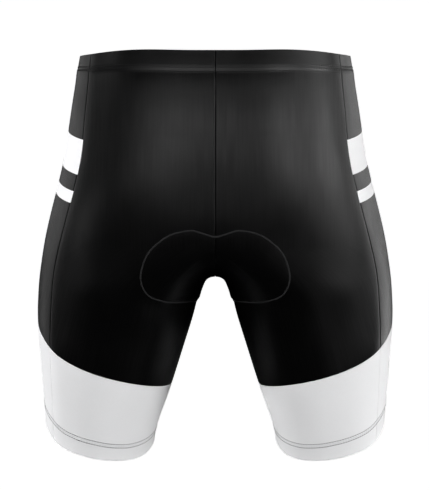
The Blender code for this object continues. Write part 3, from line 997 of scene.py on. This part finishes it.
def laid_flat(name, cloth, area):
    """Width, length and area of a piece as it is cut, before it is stretched over a body, in metres."""
    columns, rows = cloth.where[:, 0], cloth.where[:, 1]
    u, v = looked_up(around, cloth.where), looked_up(down, cloth.where)
    width = max(np.ptp(u[np.abs(rows - r) < 0.04]) for r in np.arange(rows.min(), rows.max() + 0.01, 0.25))
    length = max(np.ptp(v[np.abs(columns - c) < 0.04]) for c in np.arange(columns.min(), columns.max() + 0.01, 0.5))
    return width * MM * STRETCH, length * MM * LENGTHWAYS, area * 1e-6 * STRETCH * LENGTHWAYS


def area_of(points, faces):
    total = 0.0
    for size in (3, 4):
        some = np.array([f for f in faces if len(f) == size])
        for k in range(2, size) if len(some) else ():
            a, b, c = points[some[:, 0]], points[some[:, k - 1]], points[some[:, k]]
            total += np.linalg.norm(np.cross(b - a, c - a), axis=1).sum() / 2
    return total


def print_bars(obj):
    """Cuts the outer face of a side panel along the bars' edges and gives what lies between them the print."""
    mesh = obj.data
    bm = bmesh.new()
    bm.from_mesh(mesh)
    for bar in BARS:
        for height in (bar.low, bar.high):
            bmesh.ops.bisect_plane(
                bm,
                geom=bm.verts[:] + bm.edges[:] + bm.faces[:],
                plane_co=(0, BAR_Y * MM, height * MM),
                plane_no=(0, -BAR_SLOPE, 1),
                dist=1e-6,
            )
    for face in bm.faces:
        centre = face.calc_center_median()
        level = centre.z / MM - BAR_SLOPE * (centre.y / MM - BAR_Y)
        if face.material_index == 0 and any(bar.low < level < bar.high for bar in BARS):
            face.material_index = 1
    for face in bm.faces:
        if face.material_index == 2:
            face.material_index = 0
    bm.to_mesh(mesh)
    bm.free()
    mesh.set_sharp_from_angle(angle=radians(50))


def waist_face(above):
    """How far the cloth stands out at a distance above (or, if negative, below) the waistband's seam."""
    return through(np.clip(above, WAIST_FACE[0][0], WAIST_FACE[-1][0]), *zip(*WAIST_FACE))


def puckers(u, above):
    """Height of the puckers at distances round (u) and above the waistband seam."""
    total = 0
    for column in (BACK_COLUMNS, BACK_COLUMNS + SIDE_COLUMNS):
        away = abs(u - looked_up(around, np.array([[float(column), 1.0]]))[0])
        wave = np.sin(2 * pi * (above - PUCKER["rise"] * away) / PUCKER["pitch"] + 0.9 * np.sin(away / 7.0))
        total += wave * np.exp(-((away / PUCKER["reach"]) ** 2))
    return PUCKER["height"] * total * np.exp(-(((above - PUCKER["middle"]) / PUCKER["width"]) ** 2))


CUTS_MADE = {}


def make_cloth(name):
    """Both sides' cloth for one piece of the right half, from its surface to the finished objects."""
    band, leg_band = name.startswith("waistband"), name.startswith("leg_band")
    surface = band_surface if band else cloth_surface
    cloth = cut_piece(surface, right[surface.owner] & (net_names[surface.owner] == name))
    u, v = looked_up(around, cloth.where), looked_up(down, cloth.where)
    outer, push, wall = -cloth.dip, np.zeros(len(u)), np.full(len(u), PANEL_WALL)
    foot = looked_up(down, np.stack([cloth.where[:, 0], np.ones(len(u))], axis=1))
    if band:
        above = foot - v
        outer = outer + waist_face(above) + puckers(u, above) + OVERLAP.out * np.exp(-((above / 1.3) ** 2))
        down_by = OVERLAP.down * np.exp(-((above / 1.3) ** 2))
        wall[:] = WAISTBAND_WALL
    elif leg_band:
        row, bottom = (np.stack([cloth.where[:, 0], np.full(len(u), float(r))], axis=1) for r in (HEM_STITCH_ROW, LAST_ROW))
        out_at = looked_up(grid[0], row)[:, 0]
        raised = by_distance_out(HEM_RAISE, out_at)
        below = v - looked_up(down, row) + raised
        share = np.clip(below / (looked_up(down, bottom) - looked_up(down, row) + raised), 0, 1)
        cloth.points[:, 1] += HEM_TUCK * share * np.maximum(-cloth.normals[:, 1], 0)
        cloth.points[:, 2] -= by_distance_out(HEM_DROP, out_at) * share**2
        wall += (HEM_WALL - PANEL_WALL) * np.clip((below + 1.5) / 1.5, 0, 1)
    else:
        outer = outer + waist_face(foot - v)
        if not name.startswith("side"):
            push = pad_push(cloth.points, pad_points, pad_edge)
    outside = cloth.points + cloth.normals * (outer + push)[:, None]
    if band:
        outside[:, 2] -= down_by
    inside = cloth.points - cloth.back * 1.2 + cloth.normals * (push - wall)[:, None]  # the seams are shut inside
    uv = np.stack([u, v], axis=1)
    points, faces, uv = closed_wall(cloth, outside, inside, uv)
    material = ELASTIC if band else WHITE if leg_band else BLACK
    width, length, area = laid_flat(name, cloth, area_of(cloth.points, cloth.faces))
    CUTS_MADE[name.replace("_right", "")] = (width, length, area)
    for side, sign in SIDES.items():
        node = name.replace("right", side)
        its_points, its_faces = mirrored(points, faces, sign)
        bars = name == "side_right"
        obj = make_object(node + "_cloth", its_points, its_faces, uv, [BLACK, PRINT] if bars else [material])
        if bars:
            indices = np.full(len(its_faces), 2, np.int32)
            indices[: len(cloth.faces)] = 0
            obj.data.materials.append(BLACK)
            obj.data.polygons.foreach_set("material_index", indices)
            print_bars(obj)
            obj.data.materials.pop(index=2)
        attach(obj, "root")
        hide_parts(node)


for piece_name in sorted(set(net_names[right])):
    make_cloth(piece_name)


def make_trim(name, points, faces, material, slot, sharp=0):
    obj = make_object(name, points, faces, None, [material], sharp)
    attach(obj, "root")
    return obj


def stitch_rows():
    """Rows of stitches round each hem and round the waistband, with the slanting looper thread between the hem's rows."""
    columns = np.arange(FIRST_COLUMN * STEPS, INSEAM * STEPS) / STEPS
    rows, ladder = [], []
    for offset in HEM_THREAD.rows:
        line, normals = band_line(offset, HEM_STITCH_ROW, columns, grid, (around, down), 0.03, HEM_RAISE)
        place, way, normal = every(line, normals, HEM_THREAD.pitch, True)
        rows.append(stitches(place, way, normal, stitch_shape(HEM_THREAD.length, HEM_THREAD.width, HEM_THREAD.height)))
    middle = sum(HEM_THREAD.rows) / 2
    line, normals = band_line(middle, HEM_STITCH_ROW, columns, grid, (around, down), 0.0, HEM_RAISE)
    place, way, normal = every(line, normals, HEM_THREAD.pitch, True)
    side = unit(np.cross(normal, way))
    slant = unit(side + 0.55 * way)
    ladder.append(stitches(place, slant, normal, stitch_shape(4.1, LADDER_WIDTH, 0.2)))
    for side_name, sign in SIDES.items():
        points, faces = mirrored(*merged(rows), sign)
        make_trim("hem_stitching_" + side_name, points, faces, GREY_THREAD, "white_knit")
        points, faces = mirrored(*merged(ladder), sign)
        make_trim("hem_looper_" + side_name, points, faces, PALE_THREAD, "white_knit")
    columns = np.arange(0, RUN * STEPS + 1) / STEPS
    rows = []
    for offset in WAIST_THREAD.rows:
        line, normals = band_line(-offset, 1, columns, grid, (around, down), waist_face(offset) + 0.02)
        place, way, normal = every(line, normals, WAIST_THREAD.pitch, False)
        shape = stitch_shape(WAIST_THREAD.length, WAIST_THREAD.width, WAIST_THREAD.height)
        rows.append(stitches(place, way, normal, shape))
    points, faces = merged(rows)
    both = merged([(points, faces), mirrored(points, faces, -1)])
    make_trim("waistband_stitching", *both, BLACK_THREAD, "waistband_knit")
    rows = []
    for offset in CORD.rows:
        line, normals = band_line(-offset, 1, columns, grid, (around, down), waist_face(offset) - 0.04)
        place, way, normal = every(line, normals, CORD.pitch, False)
        slant = unit(way + CORD.lean * unit(np.cross(normal, way)))
        near = np.abs(place[:, 0]) > CORD.starts
        sunk = CORD.height * np.clip(1.0 - (np.abs(place[:, 0]) - CORD.starts) / CORD.rises, 0.0, 1.0)
        place = place - normal * sunk[:, None]
        shape = stitch_shape(CORD.length, CORD.width, CORD.height)
        rows.append(stitches(place[near], slant[near], normal[near], shape))
    points, faces = merged(rows)
    both = merged([(points, faces), mirrored(points, faces, -1)])
    make_trim("waistband_cord", *both, BLACK_CORD, "waistband_knit")


def pad_edge_ridge():
    """The line where the pad is stitched down, as it shows through on the outside, in a thread lighter than the cloth:
    a painted highlight that keeps it looking lit where shade falls.
    """
    line, normals = pad_outline(pad_points, pad_normals)
    line, normals = line[::-1], normals[::-1]
    flip = np.array((-1.0, 1.0, 1.0))
    line = np.concatenate([line[:-1], (line * flip)[::-1][:-1]])
    normals = np.concatenate([normals[:-1], (normals * flip)[::-1][:-1]])
    along = arc_lengths(np.concatenate([line, line[:1]]))
    at = np.arange(0, along[-1], 2.0)
    wrapped, ways = np.concatenate([line, line[:1]]), np.concatenate([normals, normals[:1]])
    line = at_lengths(wrapped, at)
    normals = unit(np.stack([np.interp(at, along, ways[:, k]) for k in range(3)], axis=1))
    for _ in range(2):
        line = (np.roll(line, 1, axis=0) + 2 * line + np.roll(line, -1, axis=0)) / 4
    points, faces = ribbon(line, normals, RIDGE_PROFILE, True)
    make_trim("pad_edge_ridge", points, faces, PAD_LINE_PAINTED_HIGHLIGHT, "black_knit")


def make_pad():
    """The pad: a thin edge, a soft rise to full thickness, and one long channel down its middle."""
    flip = np.array((-1.0, 1.0, 1.0))
    points = np.concatenate([(pad_points * flip)[:, :0:-1], pad_points], axis=1)
    normals = np.concatenate([(pad_normals * flip)[:, :0:-1], pad_normals], axis=1)
    edge = np.concatenate([pad_edge[:, :0:-1], pad_edge], axis=1)
    share = np.clip(edge / PAD_BEVEL, 0, 1)
    thick = PAD_EDGE + (PAD_THICK - PAD_EDGE) * share * share * (3 - 2 * share)
    middle = np.abs(points[..., 0])
    ends = np.clip((np.minimum(pad_stations, pad_stations[-1] - pad_stations) - 18) / 20, 0, 1)[:, None]
    thick = thick - 2.6 * ends * np.exp(-((middle / 4.2) ** 2))
    sewn = np.exp(-(((edge - 3.0) / 0.9) ** 2))
    thick = np.maximum(thick - 0.8 * sewn, 0.5)
    under = points - normals * 0.35
    over = under - normals * thick[..., None]
    rows, width = points.shape[:2]
    at = lambda r, c: r * width + c
    top = [[at(r, c), at(r, c + 1), at(r + 1, c + 1), at(r + 1, c)] for r in range(rows - 1) for c in range(width - 1)]
    size = rows * width
    made = top + [[v + size for v in f[::-1]] for f in top]
    made += [[b, a, a + size, b + size] for a, b in border_edges(top)]
    cloud = np.concatenate([under.reshape(-1, 3), over.reshape(-1, 3)])
    t = np.array([[f[0], f[k], f[k + 1]] for f in made for k in (1, 2)])
    volume = np.einsum("ij,ij->i", cloud[t[:, 0]], np.cross(cloud[t[:, 1]], cloud[t[:, 2]])).sum()
    if volume < 0:
        made = [f[::-1] for f in made]
    obj = make_object("seat_pad_cushion", cloud, made, None, [PAD_COVER], 60)
    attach(obj, "root")
    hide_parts("seat_pad")


stitch_rows()
pad_edge_ridge()
make_pad()

# ---------------------------------------------------------------- floor, light and camera

FLOOR = -5.0  # well below, so that the shorts can be looked at from underneath


def make_stage():
    mesh = bpy.data.meshes.new("floor")
    size = 150.0
    mesh.from_pydata([(-size, -size, FLOOR), (size, -size, FLOOR), (size, size, FLOOR), (-size, size, FLOOR)], [], [(0, 1, 2, 3)])
    n = Nodes("pale_floor")
    n.set(Base_Color=(0.9, 0.9, 0.9, 1), Roughness=0.9, Specular_IOR_Level=0.1)
    n.shader.inputs["Emission Color"].default_value = (1, 1, 1, 1)
    n.shader.inputs["Emission Strength"].default_value = 1.0
    mesh.materials.append(n.material)
    floor = bpy.data.objects.new("floor", mesh)
    bpy.context.scene.collection.objects.link(floor)
    floor.visible_diffuse = False
    floor.visible_glossy = False
    floor.visible_shadow = False


# Softboxes: direction from the garment in degrees (azimuth 0 is the camera's side, 90 its right) and power in watts; all
# are alike and at one distance, in metres. The fills are flagged off so that shiny cloth doesn't mirror them, and the
# strips are there for what it mirrors only.
Softbox = namedtuple("Softbox", "name azimuth elevation power kind")
SOFTBOXES = [
    Softbox("fill_front", 0, 5, 33.6, "matt"),
    Softbox("fill_left", -60, 5, 15.5, "matt"),
    Softbox("fill_right", 100, 5, 18.8, "matt"),
    Softbox("fill_high_left", -100, 30, 21.1, "matt"),
    Softbox("fill_low_right", 80, -25, 23.8, "matt"),
    Softbox("fill_behind_left", -130, -25, 34.0, "matt"),
    Softbox("strip_right", 60, 5, 8.7, "shiny"),
    Softbox("strip_flank_right", 80, 5, 10.6, "shiny"),
    Softbox("strip_flank_left", -80, 5, 5.9, "shiny"),
    Softbox("strip_edge_right", 100, 5, 8.8, "shiny"),
    Softbox("strip_rim_right", 120, 5, 8.2, "shiny"),
    Softbox("strip_rim_left", -120, 5, 3.8, "shiny"),
    Softbox("strip_outline_right", 145, 5, 2.0, "shiny"),
    Softbox("strip_outline_left", -145, 5, 1.2, "shiny"),
    Softbox("strip_front", 0, 30, 14.4, "shiny"),
    Softbox("strip_front_left", -20, 30, 19.3, "shiny"),
    Softbox("strip_front_right", 40, 30, 35.6, "shiny"),
    Softbox("strip_high_left", -40, 30, 9.3, "shiny"),
    Softbox("strip_side_right", 80, 30, 68.0, "shiny"),
    Softbox("strip_low_right", 40, -25, 1.8, "shiny"),
    Softbox("strip_low_rim_right", 130, -12, 6.5, "shiny"),
    Softbox("strip_low_rim_left", -130, -12, 1.5, "shiny"),
]
SOFTBOX_DISTANCE, SOFTBOX_SIDE = 2.2, 0.6
AIM = Vector((0, 0, -0.2))
WORLD_LIGHT = 0.02  # from the pale room, on matt cloth
WORLD_SHINE = 0.0  # what shiny cloth mirrors of it: dark flags stand beyond the softboxes


def make_lights():
    for box in SOFTBOXES:
        a, e = radians(box.azimuth), radians(box.elevation)
        way = Vector((sin(a) * cos(e), -cos(a) * cos(e), sin(e)))
        data = bpy.data.lights.new(box.name, "AREA")
        data.shape = "RECTANGLE"
        data.size = data.size_y = SOFTBOX_SIDE
        data.energy = box.power
        lamp = bpy.data.objects.new(box.name, data)
        lamp.location = AIM + way * SOFTBOX_DISTANCE
        lamp.rotation_euler = way.to_track_quat("Z", "Y").to_euler()
        lamp.visible_glossy = box.kind == "shiny"
        lamp.visible_diffuse = box.kind == "matt"
        bpy.context.scene.collection.objects.link(lamp)
    world = bpy.data.worlds.new("studio")
    bpy.context.scene.world = world
    world.use_nodes = True
    tree = world.node_tree
    tree.nodes.clear()
    out = tree.nodes.new("ShaderNodeOutputWorld")
    seen, lit, shine = (tree.nodes.new("ShaderNodeBackground") for _ in range(3))
    mix, matt = tree.nodes.new("ShaderNodeMixShader"), tree.nodes.new("ShaderNodeMixShader")
    path = tree.nodes.new("ShaderNodeLightPath")
    seen.inputs["Color"].default_value = (1, 1, 1, 1)
    seen.inputs["Strength"].default_value = 1.0
    lit.inputs["Color"].default_value = (1, 1, 1, 1)
    lit.inputs["Strength"].default_value = WORLD_LIGHT
    shine.inputs["Color"].default_value = (1, 1, 1, 1)
    shine.inputs["Strength"].default_value = WORLD_SHINE
    tree.links.new(path.outputs["Is Glossy Ray"], matt.inputs[0])
    tree.links.new(lit.outputs[0], matt.inputs[1])
    tree.links.new(shine.outputs[0], matt.inputs[2])
    tree.links.new(path.outputs["Is Camera Ray"], mix.inputs[0])
    tree.links.new(matt.outputs[0], mix.inputs[1])
    tree.links.new(seen.outputs[0], mix.inputs[2])
    tree.links.new(mix.outputs[0], out.inputs[0])


def make_camera():
    data = bpy.data.cameras.new("camera")
    data.sensor_width = 36.0
    data.lens = 36.0 * (2500 / 1.07) / 490
    data.clip_end = 400.0
    camera = bpy.data.objects.new("camera", data)
    e, distance, target = radians(8.0), 2.5, Vector((0, 0, -0.2019))
    way = Vector((0, -cos(e), sin(e)))
    camera.location = target + way * distance
    camera.rotation_euler = way.to_track_quat("Z", "Y").to_euler()
    data.shift_x = (215.2 - 215.0) / -490
    bpy.context.scene.collection.objects.link(camera)
    bpy.context.scene.camera = camera


make_stage()
make_lights()
make_camera()
bpy.context.scene.view_settings.view_transform = "Standard"
